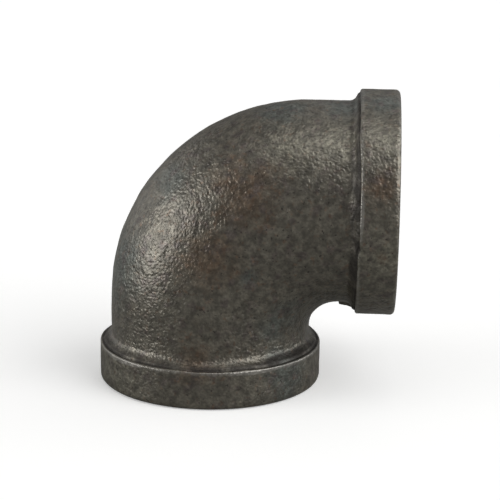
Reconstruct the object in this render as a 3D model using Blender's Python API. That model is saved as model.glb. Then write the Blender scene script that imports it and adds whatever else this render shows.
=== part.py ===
"""A 90 degree pipe elbow in black malleable iron, with two 1 inch NPT female ports.

The elbow is one casting. It stands on its lower port, its side port faces +X, and it is
centred over the origin. Its mesh is drawn with the lower port's axis on the mesh's own Z
axis. Apart from the threads and the gate's stub, it is symmetric about the XZ plane, and
about the plane that swaps its legs. Everything is in metres.
"""

from math import cos, pi, radians, sin, sqrt, tan

import bmesh
import bpy
from mathutils import Vector

MM = 0.001
INCH = 0.0254

# The casting, outside.
CENTRE_TO_FACE = 38.1 * MM  # from either port's face to the other port's axis
BAND_WIDTH = 7.8 * MM  # along the port's axis, from the face to the shoulder's edge
BAND_RISE = 2.4 * MM  # how far a band stands above the body
RIM_ROUND = 0.9 * MM  # the band's corner by the face
SHOULDER_ANGLE = radians(57)  # of the shoulder's slope, from the port's axis
SHOULDER_FILLET = 1.6 * MM  # where the shoulder runs into the body
THROAT_STRAIGHT = 1.0 * MM  # straight body between a shoulder and the throat's curve
HEEL_STRAIGHT = 7.4 * MM  # straight body between a shoulder and the heel's curve
WALL = 3.45 * MM

# The taper pipe thread of each port, 1 inch NPT.
PITCH = INCH / 11.5
TAPER = 1 / 16  # change of diameter with length
FACE_PITCH_DIAMETER = 31.46 * MM  # the thread's pitch diameter at the port's face
FLANK_ANGLE = radians(30)  # of each flank, from a plane square to the axis
CREST_FLAT = 0.22 * MM
THREAD_LENGTH = 14.7 * MM
COUNTERSINK_RIM = 0.4 * MM  # how far the countersink's edge lies outside the thread's root
CHAMBER_RELIEF = 0.55 * MM  # how far the cored chamber lies outside the thread's root
CHAMBER_STEP = 1.6 * MM  # length of the slope from the thread's end out to the chamber

# What is left of the gate, in the throat against the side band.
STUB_LENGTH = 3.6 * MM
STUB_WIDTH = 3.4 * MM
STUB_HEIGHT = 0.9 * MM  # below the body, at the stub's free end
STUB_SLOPE = 0.24  # how much deeper it gets towards the band
STUB_ROUND = 0.35 * MM

# How finely the round shapes are divided.
SEGMENTS = 40
BEND_STEPS = 20
CORNER_STEPS = 3

THREAD_DEPTH = (PITCH - CREST_FLAT) / 2 / tan(FLANK_ANGLE)
ROOT_RADIUS = (FACE_PITCH_DIAMETER + THREAD_DEPTH) / 2
COUNTERSINK_RADIUS = ROOT_RADIUS + COUNTERSINK_RIM
CHAMBER_RADIUS = ROOT_RADIUS + CHAMBER_RELIEF
BODY_RADIUS = CHAMBER_RADIUS + WALL
BAND_RADIUS = BODY_RADIUS + BAND_RISE


def crest_radius(depth):
    """The threaded hole's radius on the thread's crests, at a depth below the port's face."""
    return ROOT_RADIUS - THREAD_DEPTH - depth * TAPER / 2


def arc(centre, radius, start, end, steps):
    """Points (radius, depth) along an arc, with both its ends."""
    angles = [start + (end - start) * i / steps for i in range(steps + 1)]
    return [(centre[0] + radius * cos(a), centre[1] + radius * sin(a)) for a in angles]


def leg_outside():
    """The outer profile of a leg, as (radius, depth below the face), from the face to the body."""
    corner = (BAND_RADIUS - RIM_ROUND, RIM_ROUND)
    profile = arc(corner, RIM_ROUND, -pi / 2, 0, CORNER_STEPS)
    profile.append((BAND_RADIUS, BAND_WIDTH))
    turn = SHOULDER_ANGLE
    foot = BODY_RADIUS + SHOULDER_FILLET * (1 - cos(turn))
    slope = (BAND_RADIUS - foot) / tan(turn)
    centre = (BODY_RADIUS + SHOULDER_FILLET, BAND_WIDTH + slope + SHOULDER_FILLET * sin(turn))
    profile += arc(centre, SHOULDER_FILLET, pi + turn, pi, CORNER_STEPS)
    return profile


def leg_inside():
    """The inner profile of a leg before it is threaded, from the face to the chamber."""
    # The countersink's 45 degree cone meets the tapered hole at this depth.
    countersink = (COUNTERSINK_RADIUS - crest_radius(0)) / (1 - TAPER / 2)
    return [
        (COUNTERSINK_RADIUS, 0),
        (crest_radius(countersink), countersink),
        (crest_radius(THREAD_LENGTH), THREAD_LENGTH),
        (CHAMBER_RADIUS, THREAD_LENGTH + CHAMBER_STEP),
    ]


def turned_ring(radius, depth, leg):
    """A ring of points round a leg's axis, starting on the throat side."""
    ring = []
    for i in range(SEGMENTS):
        angle = 2 * pi * i / SEGMENTS
        across = radius * cos(angle)
        if leg == "lower":
            ring.append(Vector((across, radius * sin(angle), depth)))
        else:
            ring.append(Vector((CENTRE_TO_FACE - depth, radius * sin(angle), CENTRE_TO_FACE - across)))
    return ring


def heel_point(pivot, way, radius, heel):
    """Where a ray from the pivot meets the heel's outline: a line, the heel's arc, a line."""
    centre, heel_radius = heel
    from_centre = pivot - centre
    along = from_centre.dot(way)
    reach = sqrt(along * along - from_centre.dot(from_centre) + heel_radius * heel_radius) - along
    point = pivot + reach * way
    if point.z < centre.z:
        point = pivot + way * ((-radius - pivot.x) / way.x)
    elif point.x > centre.x:
        point = pivot + way * ((CENTRE_TO_FACE + radius - pivot.z) / way.z)
    return point


def bend_rings(start, radius, heel):
    """Rings round the bend, which leaves both legs at the depth called start.

    Their planes all pass through a pivot in the throat. Each ring is an ellipse, as wide as
    the legs, that spans from the throat's arc round the pivot to the heel's outline.
    """
    pivot = Vector((CENTRE_TO_FACE - start, 0, start))
    throat_radius = pivot.x - radius
    rings = []
    for step in range(BEND_STEPS + 1):
        turn = pi / 2 * step / BEND_STEPS
        way = Vector((-cos(turn), 0, sin(turn)))
        throat = pivot + throat_radius * way
        far = heel_point(pivot, way, radius, heel)
        middle = (throat + far) / 2
        half = (throat - far) / 2
        angles = [2 * pi * i / SEGMENTS for i in range(SEGMENTS)]
        rings.append([middle + half * cos(a) + Vector((0, radius * sin(a), 0)) for a in angles])
    return rings


def both_legs(profile, bend):
    """Rings up the lower leg, round the bend and out along the side leg."""
    up = [turned_ring(radius, depth, "lower") for radius, depth in profile]
    out = [turned_ring(radius, depth, "side") for radius, depth in reversed(profile)]
    return up + bend + out


def casting_mesh():
    """The casting with its machined faces and plain tapered holes, as one closed skin."""
    outside = leg_outside()
    shoulder_end = outside[-1][1]
    heel_start = shoulder_end + HEEL_STRAIGHT
    heel_radius = CENTRE_TO_FACE + BODY_RADIUS - heel_start
    centre = Vector((heel_radius - BODY_RADIUS, 0, heel_start))

    outer_bend = bend_rings(shoulder_end + THROAT_STRAIGHT, BODY_RADIUS, (centre, heel_radius))
    inside = leg_inside()
    inner_heel = (centre, heel_radius - WALL)
    inner_bend = bend_rings(inside[-1][1], CHAMBER_RADIUS, inner_heel)

    # The bend's first and last rings lie on the inner profile's own last ring.
    rings = both_legs(outside, outer_bend) + both_legs(inside[:-1], inner_bend)[::-1]

    mesh = bpy.data.meshes.new("elbow_casting")
    skin = bmesh.new()
    verts = [[skin.verts.new(point) for point in ring] for ring in rings]
    for this, following in zip(verts, verts[1:] + verts[:1]):
        for i in range(SEGMENTS):
            j = (i + 1) % SEGMENTS
            skin.faces.new((this[i], this[j], following[j], following[i]))
    bmesh.ops.recalc_face_normals(skin, faces=skin.faces)
    skin.to_mesh(mesh)
    skin.free()
    return mesh


def thread_mesh():
    """The groove that the tap cuts, as a solid spiral ridge that narrows with depth.

    It starts outside the face and ends in the chamber, so both its ends are in the open.
    """
    start = -PITCH
    end = THREAD_LENGTH + CHAMBER_STEP
    steps = round((end - start) / PITCH * SEGMENTS)
    clear = 0.06 * MM  # the flanks run on this far inside the crests
    body = 0.5 * MM  # and the ridge is this thick below that
    half_width = (THREAD_DEPTH + clear) * tan(FLANK_ANGLE)

    ridge = bmesh.new()
    sections = []
    for step in range(steps + 1):
        angle = 2 * pi * step / SEGMENTS
        middle = start + PITCH * step / SEGMENTS
        foot = crest_radius(middle) - clear
        outline = [
            (foot - body, middle - half_width),
            (foot, middle - half_width),
            (foot + clear + THREAD_DEPTH, middle),
            (foot, middle + half_width),
            (foot - body, middle + half_width),
        ]
        sections.append([ridge.verts.new((r * cos(angle), r * sin(angle), z)) for r, z in outline])
    for this, following in zip(sections, sections[1:]):
        for i in range(len(this)):
            j = (i + 1) % len(this)
            ridge.faces.new((this[i], this[j], following[j], following[i]))
    ridge.faces.new(sections[0])
    ridge.faces.new(sections[-1][::-1])
    bmesh.ops.recalc_face_normals(ridge, faces=ridge.faces)
    mesh = bpy.data.meshes.new("thread_groove")
    ridge.to_mesh(mesh)
    ridge.free()
    return mesh


def stub_mesh():
    """The gate's stub: a block under the side leg that runs from the throat into the band."""
    band_back = CENTRE_TO_FACE - BAND_WIDTH
    underside = CENTRE_TO_FACE - BODY_RADIUS
    buried = WALL / 2
    ends = ((band_back - STUB_LENGTH, 0), (band_back + buried, STUB_LENGTH + buried))
    block = bmesh.new()
    corners = []
    for x, run in ends:
        low = underside - STUB_HEIGHT - STUB_SLOPE * run
        for y in (-STUB_WIDTH / 2, STUB_WIDTH / 2):
            corners.append([block.verts.new((x, y, z)) for z in (low, underside + buried)])
    ((a, b), (c, d), (e, f), (g, h)) = corners
    for face in ((a, b, d, c), (e, g, h, f), (a, e, f, b), (c, d, h, g), (a, c, g, e), (b, f, h, d)):
        block.faces.new(face)
    bmesh.ops.recalc_face_normals(block, faces=block.faces)
    bmesh.ops.bevel(
        block, geom=block.edges[:], offset=STUB_ROUND, segments=2, profile=0.5, affect="EDGES"
    )
    mesh = bpy.data.meshes.new("gate_stub")
    block.to_mesh(mesh)
    block.free()
    return mesh


def add_object(name, mesh):
    added = bpy.data.objects.new(name, mesh)
    bpy.context.scene.collection.objects.link(added)
    return added


def combine(target, name, mesh, operation):
    """Adds a shape to the target, or cuts it away. The shape isn't a piece of the elbow."""
    tool = add_object(name, mesh)
    tool.parent = target
    tool.hide_render = True
    tool.display_type = "WIRE"
    modifier = target.modifiers.new(name, "BOOLEAN")
    modifier.operation = operation
    modifier.object = tool
    return tool


def black_iron():
    """As-cast malleable iron under its dark annealing scale."""
    material = bpy.data.materials.new("black_malleable_iron")
    material.use_nodes = True
    shader = material.node_tree.nodes["Principled BSDF"]
    shader.inputs["Base Color"].default_value = (0.072, 0.064, 0.052, 1)
    shader.inputs["Metallic"].default_value = 0.55
    shader.inputs["Roughness"].default_value = 0.6
    return material


def clear_scene():
    for existing in list(bpy.data.objects):
        bpy.data.objects.remove(existing, do_unlink=True)


def main():
    clear_scene()
    elbow = add_object("elbow_casting", casting_mesh())
    elbow.location.x = (BAND_RADIUS - CENTRE_TO_FACE) / 2
    elbow.data.materials.append(black_iron())
    elbow.data.shade_smooth()
    elbow.data.set_sharp_from_angle(angle=radians(30))

    combine(elbow, "gate_stub", stub_mesh(), "UNION")
    groove = thread_mesh()
    combine(elbow, "lower_port_thread", groove, "DIFFERENCE")
    side_thread = combine(elbow, "side_port_thread", groove, "DIFFERENCE")
    side_thread.location = (CENTRE_TO_FACE, 0, CENTRE_TO_FACE)
    side_thread.rotation_euler = (0, -pi / 2, 0)


main()
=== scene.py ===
"""The looks of a 1 inch pipe elbow: one casting in black malleable iron, in a plain studio.

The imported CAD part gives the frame. One detailed mesh replaces its single node: the as-cast
skin with its uneven sand-mould surface, the worn edges of the bands, the turned port faces
and the tapped threads. Its materials are procedural, at real scale.
"""

from math import cos, hypot, pi, radians, sin, sqrt, tan

import bmesh
import bpy
from mathutils import Matrix, Vector, noise


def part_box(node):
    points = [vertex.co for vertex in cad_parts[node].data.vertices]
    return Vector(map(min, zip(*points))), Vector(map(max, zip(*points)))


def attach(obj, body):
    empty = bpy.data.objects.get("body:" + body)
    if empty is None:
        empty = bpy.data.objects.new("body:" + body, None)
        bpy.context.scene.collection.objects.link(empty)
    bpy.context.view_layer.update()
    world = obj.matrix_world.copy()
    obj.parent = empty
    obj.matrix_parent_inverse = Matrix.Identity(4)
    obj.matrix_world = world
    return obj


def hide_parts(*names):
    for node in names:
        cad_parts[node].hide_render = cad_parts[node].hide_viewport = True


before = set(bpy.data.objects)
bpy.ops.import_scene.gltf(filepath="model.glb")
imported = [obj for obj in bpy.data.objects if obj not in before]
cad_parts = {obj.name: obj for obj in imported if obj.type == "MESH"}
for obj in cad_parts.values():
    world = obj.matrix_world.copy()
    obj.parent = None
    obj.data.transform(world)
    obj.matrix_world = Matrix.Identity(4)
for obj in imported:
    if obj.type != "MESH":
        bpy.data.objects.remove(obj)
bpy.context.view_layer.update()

MM = 0.001
INCH = 0.0254
NODE = "elbow_casting"

# The casting, as its CAD model has it. Its overall sizes are read from the frame.
BAND_WIDTH = 7.8 * MM
BAND_RISE = 2.4 * MM
RIM_ROUND = 0.9 * MM
SHOULDER_ANGLE = radians(57)
SHOULDER_FILLET = 1.6 * MM
THROAT_STRAIGHT = 1.0 * MM
HEEL_STRAIGHT = 7.4 * MM
WALL = 3.45 * MM

# The skin's finer detail, which is this model's own. leg_outside says what wear_and_shade is.
EDGE_ROUND = 0.32 * MM  # the band's back edge
CREASE_WIDTH = 1.05 * MM  # along the shoulder, just inside the band's back edge
CREASE_DEPTH = 0.28 * MM
CREASE_FILLING = 0.8 * CREASE_DEPTH
RIM_WEAR = 0.8
BESIDE_EDGE_WEAR = 0.7  # on the last of the band's flat, by its back edge
SLOPE_PAINTED_SHADE = (0.65, 0.32)  # painted shade on the shoulder's slope, beside the crease and by the fillet
RIM_FADE = 1.2 * MM  # from a port's face to where the skin is as uneven as the rest
SHARP_ANGLE = radians(32)  # a sharper corner than this isn't shaded smooth

# The 1 inch NPT threads. The flat at the root and the run-out are this model's own.
PITCH = INCH / 11.5
TAPER = 1 / 16
FACE_PITCH_DIAMETER = 31.46 * MM
FLANK_ANGLE = radians(30)
CREST_FLAT = 0.22 * MM
ROOT_FLAT = 0.13 * MM
THREAD_LENGTH = 14.7 * MM
THREAD_RUN_OUT = 1.6 * PITCH
COUNTERSINK_RIM = 0.4 * MM
CHAMBER_RELIEF = 0.55 * MM
CHAMBER_STEP = 1.6 * MM

# The gate's stub, under the side leg.
STUB_LENGTH = 3.6 * MM
STUB_WIDTH = 3.4 * MM
STUB_HEIGHT = 0.9 * MM
STUB_SLOPE = 0.24
STUB_EDGE = 0.35 * MM  # how far its sides and its free end spread
STUB_ROUGHNESS = 0.12 * MM
STUB_INTO_BODY = 1.5 * MM  # how far up into the body the stub may move points
STUB_INTO_BAND = 1 * MM

THREAD_DEPTH = (PITCH - CREST_FLAT) / 2 / tan(FLANK_ANGLE)
ROOT_RADIUS = (FACE_PITCH_DIAMETER + THREAD_DEPTH) / 2
COUNTERSINK_RADIUS = ROOT_RADIUS + COUNTERSINK_RIM
CHAMBER_RADIUS = ROOT_RADIUS + CHAMBER_RELIEF
BODY_RADIUS = CHAMBER_RADIUS + WALL
BAND_RADIUS = BODY_RADIUS + BAND_RISE
CHAMBER_START = THREAD_LENGTH + CHAMBER_STEP

# How finely the mesh is divided. The segments lie closer by the throat and the heel.
SEGMENTS = 240
SEGMENT_CROWDING = 0.12
OUTER_BEND_STEPS = 110
INNER_BEND_STEPS = 36
BAND_STEP = 0.5 * MM
RIM_STEPS = 6
EDGE_STEPS = 3
CREASE_STEPS = 7
FILLET_STEPS = 6
FACE_STEPS = 5
# Where the rows of a thread's mesh lie, in pitches from its root: on the edges of the root
# and the crest, and between them on the flanks.
THREAD_ROWS = (-0.03, 0.03, 0.17, 0.31, 0.45, 0.55, 0.69, 0.83)

GRAIN_DEPTH = 0.15 * MM
PEBBLE_SMOOTHNESS = 0.5
PLACE_SPREAD = 1.15  # how many of its radii from its middle a place fades out
LOWER_BAND_TOP = (7.5 * MM, 9.5 * MM)  # below it the grain is smoother, and above it rougher
CUTTER_PITCH = 0.16 * MM
CUTTER_DEPTH = 0.003 * MM

FLOOR_HALF_WIDTH = 3.0
FLOOR_GAP = 0.05 * MM

CAST, MACHINED = 0, 1  # the piece's material slots


def segment_angle(index):
    even = 2 * pi * index / SEGMENTS
    return even - SEGMENT_CROWDING * sin(2 * even)


ANGLES = [segment_angle(index) for index in range(SEGMENTS)]


def smooth(value, start, end):
    """0 at the start, 1 at the end, and smooth between. The end may be the lower value."""
    t = min(1.0, max(0.0, (value - start) / (end - start)))
    return t * t * (3 - 2 * t)


def crest_radius(depth):
    """The threaded hole's radius on the thread's crests, at a depth below the port's face."""
    return ROOT_RADIUS - THREAD_DEPTH - depth * TAPER / 2


def arc(centre, radius, start, end, steps):
    """Points (radius, depth) along an arc, with both its ends."""
    angles = [start + (end - start) * i / steps for i in range(steps + 1)]
    return [(centre[0] + radius * cos(a), centre[1] + radius * sin(a)) for a in angles]


def straight(first, last, step):
    """Points (radius, depth) that divide a straight stretch, without its ends."""
    along, down = last[0] - first[0], last[1] - first[1]
    count = max(1, round(hypot(along, down) / step))
    return [(first[0] + along * i / count, first[1] + down * i / count) for i in range(1, count)]


def leg_outside():
    """The outer profile of a leg, as (radius, depth below the face, wear and shade), from face to
    body.

    Wear and shade is 1 on an edge that is rubbed bare. Below 0 it paints the skin dark: -1 in a
    crease, for its dirt and painted shade, and less on the shoulder's slope, as painted shade.
    """
    turn = SHOULDER_ANGLE
    rim = arc((BAND_RADIUS - RIM_ROUND, RIM_ROUND), RIM_ROUND, -pi / 2, 0, RIM_STEPS)
    profile = [(*point, RIM_WEAR * sin(pi * i / RIM_STEPS)) for i, point in enumerate(rim)]
    # The band's back edge is a round that touches the band and the shoulder's slope.
    setback = EDGE_ROUND * tan(turn / 2)
    middle = (BAND_RADIUS - EDGE_ROUND, BAND_WIDTH - setback)
    edge = arc(middle, EDGE_ROUND, 0, turn, EDGE_STEPS)
    band = straight(rim[-1], edge[0], BAND_STEP)
    profile += [(*point, 0.0) for point in band[:-1]] + [(*band[-1], BESIDE_EDGE_WEAR)]
    profile += [(*point, 1.0) for point in edge]
    # A shallow crease parts the edge from the shoulder, whose slope then runs to its fillet. The
    # crease is painted dark for dirt and painted shade, and the slope for painted shade.
    start = edge[-1]
    slope_shade_by_crease, slope_shade_by_fillet = SLOPE_PAINTED_SHADE
    for i in range(1, CREASE_STEPS + 1):
        share = i / CREASE_STEPS
        along = CREASE_WIDTH * share
        dip = CREASE_DEPTH * sin(pi * share) ** 2
        radius = start[0] - along * sin(turn) - dip * cos(turn)
        depth = start[1] + along * cos(turn) - dip * sin(turn)
        profile.append((radius, depth, -max(sin(pi * share), slope_shade_by_crease * share)))
    foot = BODY_RADIUS + SHOULDER_FILLET * (1 - cos(turn))
    run = (BAND_RADIUS - foot) / tan(turn)
    centre = (BODY_RADIUS + SHOULDER_FILLET, BAND_WIDTH + run + SHOULDER_FILLET * sin(turn))
    fillet = arc(centre, SHOULDER_FILLET, pi + turn, pi, FILLET_STEPS)
    slope = straight(profile[-1][:2], fillet[0], BAND_STEP)
    for i, point in enumerate(slope):
        share = (i + 1) / (len(slope) + 1)
        profile.append((*point, -slope_shade_by_crease * (1 - share) - slope_shade_by_fillet * share))
    for i, point in enumerate(fillet):
        profile.append((*point, -slope_shade_by_fillet * (1 - i / FILLET_STEPS)))
    return profile


class Elbow:
    """The casting's fine mesh, in metres, with the lower port's axis on its own Z axis.

    Its skin is laid down as rings of points, which faces then join. Each point keeps what
    part of the casting it belongs to, for the surface's unevenness and the materials.
    """

    def __init__(self, centre_to_face):
        self.centre_to_face = centre_to_face
        self.points = []
        self.cast = []  # how much of the mould's unevenness a point takes, from 0 to 1
        self.wear_and_shade = []  # 1 where rubbed bare, -1 in a crease painted dark with dirt and painted shade
        self.turned = []  # the distance along the cutter's path, on what was machined
        self.faces = []
        self.slots = []

    def add(self, points, cast, turned=0.0, wear_and_shade=0.0):
        first = len(self.points)
        self.points += points
        self.cast += [cast] * len(points)
        self.wear_and_shade += [wear_and_shade] * len(points)
        self.turned += [turned] * len(points)
        return list(range(first, len(self.points)))

    def face(self, corners, slot):
        """Adds a face, without any corner that it would have twice."""
        corners = tuple(dict.fromkeys(corners))
        if len(corners) > 2:
            self.faces.append(corners)
            self.slots.append(slot)

    def join(self, rings, slot):
        for this, following in zip(rings, rings[1:]):
            for i in range(SEGMENTS):
                j = (i + 1) % SEGMENTS
                self.face((this[i], this[j], following[j], following[i]), slot)

    def place(self, leg, radius, angle, depth):
        """A point at an angle round a leg's axis, from the throat side."""
        across = radius * cos(angle)
        if leg == "lower":
            return Vector((across, radius * sin(angle), depth))
        out, up = self.centre_to_face - depth, self.centre_to_face - across
        return Vector((out, radius * sin(angle), up))

    def ring(self, leg, radius, depth, cast, turned=0.0, wear_and_shade=0.0):
        return self.add([self.place(leg, radius, a, depth) for a in ANGLES], cast, turned, wear_and_shade)

    def heel_point(self, pivot, way, radius, heel):
        """Where a ray from the pivot meets the heel's outline: a line, the heel's arc, a line."""
        centre, heel_radius = heel
        from_centre = pivot - centre
        along = from_centre.dot(way)
        squared = along * along - from_centre.dot(from_centre) + heel_radius * heel_radius
        point = pivot + (sqrt(squared) - along) * way
        if point.z < centre.z:
            point = pivot + way * ((-radius - pivot.x) / way.x)
        elif point.x > centre.x:
            point = pivot + way * ((self.centre_to_face + radius - pivot.z) / way.z)
        return point

    def bend(self, start, radius, heel, steps):
        """Rings of points round the bend: ellipses in planes that pass through a throat pivot."""
        pivot = Vector((self.centre_to_face - start, 0, start))
        rings = []
        for step in range(steps + 1):
            turn = pi / 2 * step / steps
            way = Vector((-cos(turn), 0, sin(turn)))
            throat = pivot + (pivot.x - radius) * way
            far = self.heel_point(pivot, way, radius, heel)
            middle, half = (throat + far) / 2, (throat - far) / 2
            rings.append([middle + half * cos(a) + Vector((0, radius * sin(a), 0)) for a in ANGLES])
        return rings

    def outside(self, profile):
        """The as-cast skin, from the lower port's face round to the side port's."""
        shoulder_end = profile[-1][1]
        heel_start = shoulder_end + HEEL_STRAIGHT
        heel_radius = self.centre_to_face + BODY_RADIUS - heel_start
        heel_centre = Vector((heel_radius - BODY_RADIUS, 0, heel_start))
        self.heel = (heel_centre, heel_radius)
        bend = self.bend(shoulder_end + THROAT_STRAIGHT, BODY_RADIUS, self.heel, OUTER_BEND_STEPS)
        skin = [(r, d, smooth(d, 0, RIM_FADE), 0.0, wear_and_shade) for r, d, wear_and_shade in profile]
        up = [self.ring("lower", *ring) for ring in skin]
        middle = [self.add(points, 1.0) for points in bend]
        out = [self.ring("side", *ring) for ring in reversed(skin)]
        rings = up + middle + out
        self.join(rings, CAST)
        return rings[0], rings[-1]

    def chamber(self):
        """The cored passage between the two threads."""
        inner_heel = (self.heel[0], self.heel[1] - WALL)
        bend = self.bend(CHAMBER_START, CHAMBER_RADIUS, inner_heel, INNER_BEND_STEPS)
        rings = [self.add(points, 1.0) for points in bend]
        for index in (*rings[0], *rings[-1]):
            self.cast[index] = 0.0
        self.join(rings, CAST)
        return rings[0], rings[-1]

    def port_face(self, leg, rim):
        """The turned face, from the band's rim in to the countersink's edge."""
        outer = BAND_RADIUS - RIM_ROUND
        rings = [rim]
        for index in rim:
            self.turned[index] = outer
        for step in range(1, FACE_STEPS + 1):
            radius = outer + (COUNTERSINK_RADIUS - outer) * step / FACE_STEPS
            rings.append(self.ring(leg, radius, 0, 0.0, radius))
        self.join(rings, MACHINED)
        return rings[-1]

    def hole_radius(self, depth, phase):
        """The radius of the countersunk and tapped hole. The phase is 0 on the thread's root."""
        off_root = abs(phase - round(phase)) * PITCH
        flank = max(0.0, off_root - ROOT_FLAT / 2) / tan(FLANK_ANGLE)
        groove = THREAD_DEPTH - flank - ROOT_FLAT / 2
        run_out = smooth(depth, CHAMBER_START, CHAMBER_START - THREAD_RUN_OUT)
        thread = crest_radius(depth) + max(0.0, groove) * run_out
        countersink = COUNTERSINK_RADIUS - depth
        end = crest_radius(THREAD_LENGTH)
        step_out = end + (CHAMBER_RADIUS - end) * (depth - THREAD_LENGTH) / CHAMBER_STEP
        return max(thread, countersink, step_out)

    def thread(self, leg, edge, chamber):
        """The tapped hole, between its edge at the face and the chamber's first ring.

        The mesh's rows follow the thread's right-handed helix, so they run out at both ends.
        """
        rows = []
        for turn in range(-1, round(CHAMBER_START / PITCH) + 2):
            rows += [(turn + row) * PITCH for row in THREAD_ROWS]
        half = SEGMENTS // 2
        columns = [step if leg == "lower" else (half - step) % SEGMENTS for step in range(SEGMENTS)]
        grid = []
        for step, column in enumerate(columns):
            rise = PITCH * ANGLES[step] / (2 * pi)
            line = []
            for row in rows:
                depth = row + rise
                if depth <= 0:
                    line.append(edge[column])
                elif depth >= CHAMBER_START:
                    line.append(chamber[column])
                else:
                    radius = self.hole_radius(depth, row / PITCH)
                    line += self.add([self.place(leg, radius, ANGLES[column], depth)], 0.0, depth)
            grid.append(line)
        last = len(rows) - 1
        for step in range(SEGMENTS):
            this, following = grid[step], grid[(step + 1) % SEGMENTS]
            shift = len(THREAD_ROWS) if step == SEGMENTS - 1 else 0
            for row in range(last):
                low, high = min(row + shift, last), min(row + shift + 1, last)
                self.face((this[row], following[low], following[high], this[row + 1]), MACHINED)

    def build(self):
        lower_rim, side_rim = self.outside(leg_outside())
        lower_chamber, side_chamber = self.chamber()
        self.thread("lower", self.port_face("lower", lower_rim), lower_chamber)
        self.thread("side", self.port_face("side", side_rim), side_chamber)


def waves(point, size, seed):
    """Smooth noise, about -1 to 1, whose waves are about this size."""
    return noise.noise(point / size + Vector((seed, 2.7 * seed, -1.3 * seed)))


# The mould's unevenness, as waves of (height, size) in millimetres, each with a seed.
MOULD_WAVES = ((0.11, 9.0, 3.1), (0.06, 3.6, 7.7), (0.035, 1.5, 1.9))


def mould_unevenness(point):
    """How far the sand mould's surface stands off the true shape, in metres."""
    return sum(height * MM * waves(point, size * MM, seed) for height, size, seed in MOULD_WAVES)


PARTING_HEIGHT = 0.10 * MM
PARTING_Y = -0.12 * MM
PARTING_HALF_WIDTH = (0.9 * MM, 0.35 * MM)  # at its foot, and where it is at its full height
PARTING_THROAT_SHARE = 0.4  # how much of its height is left round the throat


def parting_line(point, throat_side):
    """The ground-down flash near the casting's middle plane, where the mould's halves met."""
    along = 0.5 + 0.5 * waves(Vector((point.x, 0, point.z)), 8 * MM, 5.3)
    height = PARTING_HEIGHT * smooth(along, 0.25, 0.8)
    height *= smooth(abs(point.y - PARTING_Y), *PARTING_HALF_WIDTH)
    return height * (PARTING_THROAT_SHARE if throat_side else 1)


# Dents, as (place, radius, depth) in millimetres. The origin is the lower port's middle.
DENTS = (
    ((30.3, -22.3, 33.2), 1.1, 0.40),  # a nick in the side band's back edge
    ((35.4, -21.7, 30.0), 1.0, 0.22),
    ((33.0, -17.5, 52.5), 1.3, 0.18),
    ((-20.6, 9.0, 4.6), 1.2, 0.25),
    ((12.0, 19.8, 5.2), 1.0, 0.20),
    ((-9.5, -19.0, 25.0), 1.4, 0.12),
    ((-12.5, 16.0, 33.0), 1.5, 0.18),
)


def dents(point):
    """How deep the surface is dented here, in metres."""
    total = 0.0
    for place, radius, depth in DENTS:
        near = (point - Vector(place) * MM).length / (radius * MM)
        if near < 1:
            total += depth * MM * (1 - near * near) ** 2
    return total


# How far the side band's back edge wanders. Each pair is where that starts and where it is
# full: in X from the edge, on the shoulder and on the band, and then in Z and in Y.
EDGE_DRIFT = 0.35 * MM
DRIFT_ON_SHOULDER = (-2.6 * MM, -1.0 * MM)
DRIFT_ON_BAND = (1.6 * MM, 0)
DRIFT_BOTTOM = (32.9 * MM, 33.7 * MM)
DRIFT_TOP = (56 * MM, 48 * MM)
DRIFT_SIDE = (-8 * MM, -14 * MM)


def edge_drift(point, centre_to_face):
    """How far the side band's back edge wanders towards the face here, above the nick."""
    off_edge = point.x - (centre_to_face - BAND_WIDTH)
    on_edge = smooth(off_edge, *DRIFT_ON_SHOULDER) * smooth(off_edge, *DRIFT_ON_BAND)
    stretch = smooth(point.z, *DRIFT_BOTTOM) * smooth(point.z, *DRIFT_TOP)
    return EDGE_DRIFT * on_edge * stretch * smooth(point.y, *DRIFT_SIDE)


def main_surface(elbow, mesh):
    """Moves the mesh's points off the true shape, as the mould, the grinder and wear left them."""
    a = elbow.centre_to_face
    underside = a - BODY_RADIUS
    band_back = a - BAND_WIDTH
    free_end = band_back - STUB_LENGTH
    normals = [normal.vector.copy() for normal in mesh.vertex_normals]
    surface = []
    for point, out, cast, wear_and_shade in zip(elbow.points, normals, elbow.cast, elbow.wear_and_shade):
        surface.extend(point)
        if cast == 0:
            continue
        throat_side = point.x > 0 and point.z < a
        offset = mould_unevenness(point)
        offset += parting_line(point, throat_side)
        # In places scale and sand fill the crease, and lie a little on the slope beside it.
        filled = smooth(waves(point, 7 * MM, 6.1), -0.1, 0.45)
        offset += CREASE_FILLING * filled * max(0.0, -wear_and_shade)
        moved = point + out * (offset - dents(point)) * cast
        moved.x += edge_drift(point, a)
        # The gate's stub fills the corner between the side leg's underside and its band.
        width = smooth(abs(moved.y), STUB_WIDTH / 2 + STUB_EDGE, STUB_WIDTH / 2)
        length = smooth(moved.x, free_end - STUB_EDGE / 2, free_end + STUB_EDGE / 2)
        stub_foot = underside - STUB_HEIGHT - STUB_SLOPE * (moved.x - free_end)
        stub_foot += STUB_ROUGHNESS * waves(point, 1.1 * MM, 9.4)
        in_reach = moved.z < underside + STUB_INTO_BODY and moved.x < band_back + STUB_INTO_BAND
        if in_reach and width * length > 0:
            moved.z += width * length * (min(moved.z, stub_foot) - moved.z)
        surface[-3:] = moved
    mesh.vertices.foreach_set("co", surface)


def elbow_mesh(centre_to_face):
    elbow = Elbow(centre_to_face)
    elbow.build()
    mesh = bpy.data.meshes.new("elbow")
    mesh.from_pydata(elbow.points, [], elbow.faces)
    mesh.polygons.foreach_set("material_index", elbow.slots)
    skin = bmesh.new()
    skin.from_mesh(mesh)
    bmesh.ops.recalc_face_normals(skin, faces=skin.faces)
    skin.to_mesh(mesh)
    skin.free()
    main_surface(elbow, mesh)
    for name, values in (("turned", elbow.turned), ("wear_and_shade", elbow.wear_and_shade)):
        mesh.attributes.new(name, "FLOAT", "POINT").data.foreach_set("value", values)
    return mesh


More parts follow.
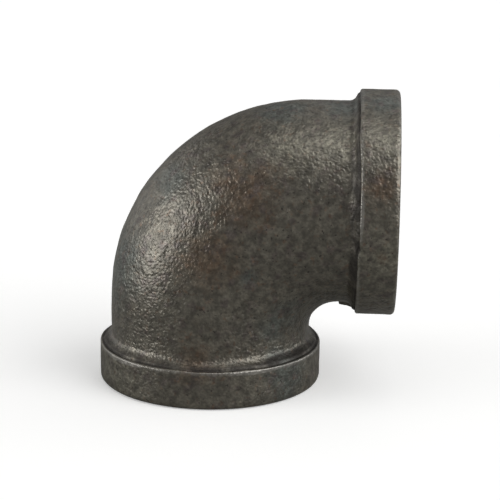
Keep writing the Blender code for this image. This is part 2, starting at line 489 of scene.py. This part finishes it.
class Nodes:
    """A short way to write a material's node tree."""

    def __init__(self, name):
        self.material = bpy.data.materials.new(name)
        self.material.use_nodes = True
        self.tree = self.material.node_tree
        self.shader = self.tree.nodes["Principled BSDF"]
        self.where = self.add("ShaderNodeTexCoord").outputs["Object"]

    def add(self, kind, **settings):
        node = self.tree.nodes.new(kind)
        for name, value in settings.items():
            setattr(node, name, value)
        return node

    def put(self, socket, value):
        if isinstance(value, bpy.types.NodeSocket):
            self.tree.links.new(value, socket)
        else:
            socket.default_value = value

    def noise(self, size, detail=2.0, shift=0.0):
        """Noise from 0 to 1, whose lumps are about this size in metres."""
        place = self.add("ShaderNodeVectorMath", operation="ADD")
        self.put(place.inputs[0], self.where)
        place.inputs[1].default_value = (shift, -shift, 0.5 * shift)
        node = self.add("ShaderNodeTexNoise")
        self.put(node.inputs["Vector"], place.outputs[0])
        node.inputs["Scale"].default_value = 1 / size
        node.inputs["Detail"].default_value = detail
        return node.outputs["Fac"]

    def pebbles(self, size):
        """The distance to the nearest pebble's middle, in pebbles."""
        node = self.add("ShaderNodeTexVoronoi", feature="SMOOTH_F1")
        self.put(node.inputs["Vector"], self.where)
        node.inputs["Scale"].default_value = 1 / size
        node.inputs["Smoothness"].default_value = PEBBLE_SMOOTHNESS
        return node.outputs["Distance"]

    def near(self, places):
        """1 at the middle of any of these (place, radius), in millimetres, falling to 0."""
        total = 0.0
        for place, radius in places:
            node = self.add("ShaderNodeVectorMath", operation="DISTANCE")
            self.put(node.inputs[0], self.where)
            node.inputs[1].default_value = Vector(place) * MM
            here = self.ramp(node.outputs["Value"], radius * MM * PLACE_SPREAD, 0)
            total = self.math("MAXIMUM", here, total)
        return total

    def height(self):
        """The height above the lower port's face, in metres."""
        node = self.add("ShaderNodeSeparateXYZ")
        self.put(node.inputs[0], self.where)
        return node.outputs["Z"]

    def attribute(self, name):
        return self.add("ShaderNodeAttribute", attribute_name=name).outputs["Fac"]

    def math(self, operation, first, second=0.0):
        node = self.add("ShaderNodeMath", operation=operation)
        self.put(node.inputs[0], first)
        self.put(node.inputs[1], second)
        return node.outputs[0]

    def ramp(self, value, low, high, to_low=0.0, to_high=1.0):
        """The value taken smoothly from the range low to high to another range."""
        node = self.add("ShaderNodeMapRange", interpolation_type="SMOOTHSTEP")
        self.put(node.inputs["Value"], value)
        names = ("From Min", "From Max", "To Min", "To Max")
        for name, number in zip(names, (low, high, to_low, to_high)):
            self.put(node.inputs[name], number)
        return node.outputs["Result"]

    def mix(self, amount, first, second, blend="MIX"):
        """Two colours, mixed."""
        node = self.add("ShaderNodeMix", data_type="RGBA", blend_type=blend)
        self.put(node.inputs["Factor"], amount)
        self.put(node.inputs["A"], first)
        self.put(node.inputs["B"], second)
        return node.outputs["Result"]

    def grey(self, value):
        """A grey of this value, which may be over 1."""
        node = self.add("ShaderNodeCombineXYZ")
        for socket in node.inputs:
            self.put(socket, value)
        return node.outputs[0]

    def bump(self, height, distance):
        node = self.add("ShaderNodeBump")
        self.put(node.inputs["Height"], height)
        node.inputs["Distance"].default_value = distance
        return node.outputs["Normal"]

    def finish(self, **inputs):
        for name, value in inputs.items():
            self.put(self.shader.inputs[name.replace("_", " ")], value)
        return self.material


# Where the scale has browned or greyed, where a highlight is painted as paler scale, where
# shadow is painted into the creases and where edges are more worn, as (place, radius) in
# millimetres. The origin is the lower port's middle.
RUSTY_PLACES = (
    ((8.0, -19.5, 44.0), 11.0),
    ((1.0, -20.5, 31.0), 10.0),
    ((34.6, -21.0, 46.0), 5.0),
    ((34.9, -22.0, 32.3), 2.0),
    ((-1.0, -22.0, 9.5), 6.0),
    ((6.0, 20.0, 36.0), 10.0),
    ((-18.0, 12.0, 12.0), 7.0),
)
GREY_AND_SHADED_TOP_PLACES = (
    ((-19.0, -8.0, 26.0), 13.0),
    ((17.0, -17.0, 16.0), 8.0),
    ((17.0, -16.0, 6.0), 9.0),
    ((-10.0, -12.0, 46.0), 9.0),
    ((9.0, -20.6, 27.0), 3.0),
    # These three are painted shade on the top of the side leg.
    ((14.0, -5.0, 57.5), 8.0),
    ((27.0, -4.0, 58.5), 8.0),
    ((35.0, -7.0, 60.0), 6.0),
    ((-4.0, 14.0, 52.0), 12.0),
    ((20.0, 18.0, 25.0), 9.0),
)
# Highlights painted as paler scale: on the lower band's left, on the side band and along the top of
# the side leg.
PAINTED_HIGHLIGHT_PLACES = (
    ((34.5, -22.0, 32.0), 9.0),
    ((-18.0, -15.0, 4.0), 9.0),
    ((26.0, -14.0, 53.0), 7.5),
    ((17.0, -14.5, 52.0), 7.5),
    ((35.0, -16.0, 54.0), 6.0),
)
# Painted shadow on the shoulders: by the lower band's throat side and along the side band's back
# edge.
PAINTED_SHADOW_PLACES = (
    ((20.5, -9.0, 8.8), 6.0),
    ((15.5, -15.5, 8.8), 4.5),
    ((28.6, -19.0, 47.0), 6.0),
    ((28.6, -21.0, 38.0), 6.0),
    ((28.6, -19.0, 29.0), 6.0),
)
WORN_PLACES = (
    ((-17.0, -15.5, 7.6), 7.0),
    ((10.0, -20.5, 7.6), 6.0),
    ((30.5, -23.0, 41.0), 5.0),
    ((15.0, 17.5, 7.6), 7.0),
)


def cast_iron():
    """The annealed casting's dark scale: pebbly from the sand, with rust and duller patches, and
    painted highlights and painted shade.
    """
    n = Nodes("cast_iron_scale")
    # The grain's height, from a few sizes of lump.
    grain = n.noise(0.00052, detail=0.6, shift=0.3)
    pebbles = n.pebbles(0.00085)
    coarse = n.noise(0.0013, detail=1.0, shift=1.1)
    height = n.math("ADD", grain, n.math("MULTIPLY", coarse, 0.9))
    height = n.math("SUBTRACT", height, n.math("MULTIPLY", pebbles, 0.5))
    finest = n.noise(0.00027, detail=0.0, shift=1.7)
    height = n.math("ADD", height, n.math("MULTIPLY", finest, 0.09))
    strength = n.ramp(n.height(), *LOWER_BAND_TOP, 0.62, 0.95)

    # The scale's patches of colour, from broad to fine. The grey also paints shade on the top of
    # the side leg, and the pale scale paints highlights.
    scale = (0.156, 0.143, 0.114, 1)
    grey = (0.132, 0.140, 0.123, 1)
    brown = (0.158, 0.116, 0.080, 1)
    purple = (0.122, 0.098, 0.090, 1)
    rust = (0.165, 0.106, 0.068, 1)
    painted_highlight_colour = (0.28, 0.265, 0.205, 1)
    blotch = n.noise(0.0035, detail=3.0, shift=3.0)
    rusty = n.math("ADD", n.near(RUSTY_PLACES), n.math("MULTIPLY", blotch, 1.6))
    greyed_and_shaded = n.math("ADD", n.near(GREY_AND_SHADED_TOP_PLACES), n.math("MULTIPLY", blotch, -1.2))
    colour = n.mix(n.ramp(greyed_and_shaded, -0.5, 0.35), scale, grey)
    colour = n.mix(n.ramp(rusty, 0.85, 1.9, 0, 0.9), colour, brown)
    colour = n.mix(n.ramp(n.noise(0.0022, shift=4.0), 0.52, 0.70, 0, 0.65), colour, purple)
    spots = n.math("ADD", n.noise(0.0010, shift=5.0), n.math("MULTIPLY", rusty, 0.10))
    colour = n.mix(n.ramp(spots, 0.66, 0.86, 0, 0.7), colour, rust)
    # Paler scale painted as highlight at these places.
    painted_highlight = n.math("MULTIPLY", n.near(PAINTED_HIGHLIGHT_PLACES), n.ramp(n.noise(0.0009, shift=6.5), 0.35, 0.65))
    colour = n.mix(n.math("MULTIPLY", painted_highlight, 0.75), colour, painted_highlight_colour)
    speckle = n.ramp(n.noise(0.00055, detail=1.0, shift=7.0), 0.28, 0.72, 0.82, 1.18)
    mottle = n.ramp(n.noise(0.0016, detail=1.0, shift=7.5), 0.28, 0.72, 0.72, 1.28)
    colour = n.mix(1.0, colour, n.grey(n.math("MULTIPLY", speckle, mottle)), blend="MULTIPLY")

    # Pits, the edges that are rubbed bare, and the creases darkened for dirt and painted shade,
    # with painted shade on the slopes and painted shadow in places.
    pit = (0.03, 0.025, 0.02, 1)
    bare_iron = (0.34, 0.325, 0.295, 1)
    dirt_and_shade_colour = (0.022, 0.017, 0.013, 1)
    wear_and_shade = n.attribute("wear_and_shade")
    broken = n.math("ADD", n.noise(0.0007, shift=8.0), n.noise(0.006, shift=9.0))
    broken = n.math("ADD", broken, n.math("MULTIPLY", n.near(WORN_PLACES), 0.5))
    bare = n.ramp(n.math("MULTIPLY", wear_and_shade, broken), 0.65, 1.25)
    # More painted shadow at these places, in the creases and on the slopes.
    more_painted_shadow = n.math("MULTIPLY", n.near(PAINTED_SHADOW_PLACES), n.ramp(wear_and_shade, 0, -0.3, 0, 0.8))
    dirt_and_shade_amount = n.ramp(n.math("SUBTRACT", wear_and_shade, more_painted_shadow), -0.1, -0.8)
    dirt_and_painted_shade = n.math("MULTIPLY", dirt_and_shade_amount, n.ramp(n.noise(0.004, shift=9.5), 0.30, 0.55, 0.45))
    pits = n.ramp(n.noise(0.00055, detail=1.0, shift=11.0), 0.34, 0.24, 0, 0.8)
    colour = n.mix(pits, colour, pit)
    colour = n.mix(n.math("MULTIPLY", bare, 0.75), colour, bare_iron)
    colour = n.mix(n.math("MULTIPLY", dirt_and_painted_shade, 0.92), colour, dirt_and_shade_colour)
    roughness = n.ramp(n.noise(0.0016, shift=6.0), 0.3, 0.7, 0.28, 0.42)
    roughness = n.math("ADD", roughness, n.math("MULTIPLY", dirt_and_painted_shade, 0.3))
    return n.finish(
        Base_Color=colour,
        Metallic=0.6,
        IOR=1.9,
        Roughness=roughness,
        Normal=n.bump(n.math("MULTIPLY", height, strength), GRAIN_DEPTH),
    )


def machined_iron():
    """Bare turned iron on the port faces and in the threads, with cutter marks and some rust."""
    n = Nodes("machined_iron")
    wave = n.math("SINE", n.math("MULTIPLY", n.attribute("turned"), 2 * pi / CUTTER_PITCH))
    clean = (0.30, 0.29, 0.27, 1)
    dull = (0.23, 0.22, 0.20, 1)
    rust = (0.16, 0.09, 0.05, 1)
    colour = n.mix(n.ramp(n.noise(0.004, shift=1.0), 0.35, 0.65), clean, dull)
    colour = n.mix(n.ramp(n.noise(0.0012, shift=2.0), 0.60, 0.78), colour, rust)
    return n.finish(
        Base_Color=colour,
        Metallic=0.95,
        Roughness=n.ramp(n.noise(0.002, shift=3.0), 0.3, 0.7, 0.30, 0.44),
        Normal=n.bump(wave, CUTTER_DEPTH),
    )


def pale_floor():
    """A floor that the camera sees nearly white, and that lights the object as a dim one."""
    n = Nodes("pale_floor")
    n.finish(
        Base_Color=(0.88, 0.88, 0.87, 1),
        Roughness=0.9,
        Emission_Color=(1, 1, 1, 1),
        Emission_Strength=0.34,
    )
    dim = n.add("ShaderNodeBsdfDiffuse")
    dim.inputs["Color"].default_value = (0.30, 0.30, 0.29, 1)
    choose = n.add("ShaderNodeMixShader")
    n.put(choose.inputs["Fac"], n.add("ShaderNodeLightPath").outputs["Is Camera Ray"])
    n.put(choose.inputs[1], dim.outputs[0])
    n.put(choose.inputs[2], n.shader.outputs[0])
    n.put(n.tree.nodes["Material Output"].inputs["Surface"], choose.outputs[0])
    return n.material


def add_object(name, data):
    added = bpy.data.objects.new(name, data)
    bpy.context.scene.collection.objects.link(added)
    return added


def make_elbow():
    low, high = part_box(NODE)
    band_radius = (high.y - low.y) / 2
    mesh = elbow_mesh(high.z - low.z - band_radius)
    mesh.materials.append(cast_iron())
    mesh.materials.append(machined_iron())
    mesh.shade_smooth()
    mesh.set_sharp_from_angle(angle=SHARP_ANGLE)
    elbow = add_object("elbow", mesh)
    elbow.location = (low.x + band_radius, (low.y + high.y) / 2, low.z)
    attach(elbow, "root")
    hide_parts(NODE)


def make_floor():
    half = FLOOR_HALF_WIDTH
    mesh = bpy.data.meshes.new("floor")
    corners = [(-half, -half, 0), (half, -half, 0), (half, half, 0), (-half, half, 0)]
    mesh.from_pydata(corners, [], [(0, 1, 2, 3)])
    mesh.materials.append(pale_floor())
    floor = add_object("floor", mesh)
    floor.location.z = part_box(NODE)[0].z - FLOOR_GAP


def direction(azimuth, elevation):
    """A unit vector. Azimuth 0 is the camera's side, -Y, and 90 is +X. Both are in degrees."""
    a, e = radians(azimuth), radians(elevation)
    return Vector((sin(a) * cos(e), -cos(a) * cos(e), sin(e)))


# The studio's soft boxes, as (azimuth, elevation, half angle, brightness), with the angles in
# degrees. A box is bright out to one share of its half angle and fades out at the other. The
# directions and widths were chosen one by one. The brightnesses and the ambient level started
# as a least-squares fit to the photograph's shading, made outside this script, and were
# rounded.
SOFT_BOXES = {
    "left": (-75, 8, 20, 3.1),
    "high left": (-75, 28, 20, 0.45),
    "low right": (60, 15, 22, 1.3),
    "high right": (60, 45, 22, 2.4),
    "far right": (105, 15, 22, 2.0),
    "overhead": (0, 88, 28, 0.15),
    "overhead left": (-35, 78, 15, 0.58),
    "overhead right": (40, 76, 15, 0.5),
    "behind left": (-120, 10, 25, 0.6),
    "high behind": (150, 45, 30, 0.3),
}
BRIGHT_SHARE, FADED_SHARE = 0.6, 1.3
AMBIENT = 0.16
BACKGROUND = 1.0


def make_world():
    """A soft studio: a dim room with wide soft boxes. The camera itself sees plain white."""
    world = bpy.data.worlds.new("studio")
    bpy.context.scene.world = world
    world.use_nodes = True
    tree = world.node_tree
    add, link = tree.nodes.new, tree.links.new
    where = add("ShaderNodeTexCoord").outputs["Generated"]
    total = None
    for azimuth, elevation, half_angle, brightness in SOFT_BOXES.values():
        dot = add("ShaderNodeVectorMath")
        dot.operation = "DOT_PRODUCT"
        link(where, dot.inputs[0])
        dot.inputs[1].default_value = direction(azimuth, elevation)
        box = add("ShaderNodeMapRange")
        box.interpolation_type = "SMOOTHSTEP"
        link(dot.outputs["Value"], box.inputs["Value"])
        box.inputs["From Min"].default_value = cos(radians(half_angle * FADED_SHARE))
        box.inputs["From Max"].default_value = cos(radians(half_angle * BRIGHT_SHARE))
        box.inputs["To Max"].default_value = brightness
        summed = add("ShaderNodeMath")
        link(box.outputs["Result"], summed.inputs[0])
        if total is None:
            summed.inputs[1].default_value = AMBIENT
        else:
            link(total, summed.inputs[1])
        total = summed.outputs[0]
    light = add("ShaderNodeBackground")
    light.inputs["Color"].default_value = (1, 1, 1, 1)
    link(total, light.inputs["Strength"])
    white = add("ShaderNodeBackground")
    white.inputs["Color"].default_value = (1, 1, 1, 1)
    white.inputs["Strength"].default_value = BACKGROUND
    choose = add("ShaderNodeMixShader")
    link(add("ShaderNodeLightPath").outputs["Is Camera Ray"], choose.inputs["Fac"])
    link(light.outputs[0], choose.inputs[1])
    link(white.outputs[0], choose.inputs[2])
    link(choose.outputs[0], tree.nodes["World Output"].inputs["Surface"])


def make_camera():
    """The photograph's view: a little from the right, and looking down.

    The numbers come from a fit of the casting's outline to the photograph's.
    """
    azimuth, elevation, distance, roll, lens = 3.1, 15.06, 0.363, 0.75, 126.4
    target = Vector((0.6, -0.7, 27.35)) * MM
    back = direction(azimuth, elevation)
    level = Vector((cos(radians(azimuth)), sin(radians(azimuth)), 0))
    upward = back.cross(level)
    right = level * cos(radians(roll)) + upward * sin(radians(roll))
    up = back.cross(right)
    data = bpy.data.cameras.new("camera")
    data.lens = lens
    data.clip_start = 0.01
    camera = add_object("camera", data)
    camera.location = target + back * distance
    camera.rotation_euler = Matrix((right, up, back)).transposed().to_euler()
    bpy.context.scene.camera = camera


make_camera()
make_floor()
make_world()
make_elbow()
bpy.context.scene.view_settings.view_transform = "Standard"
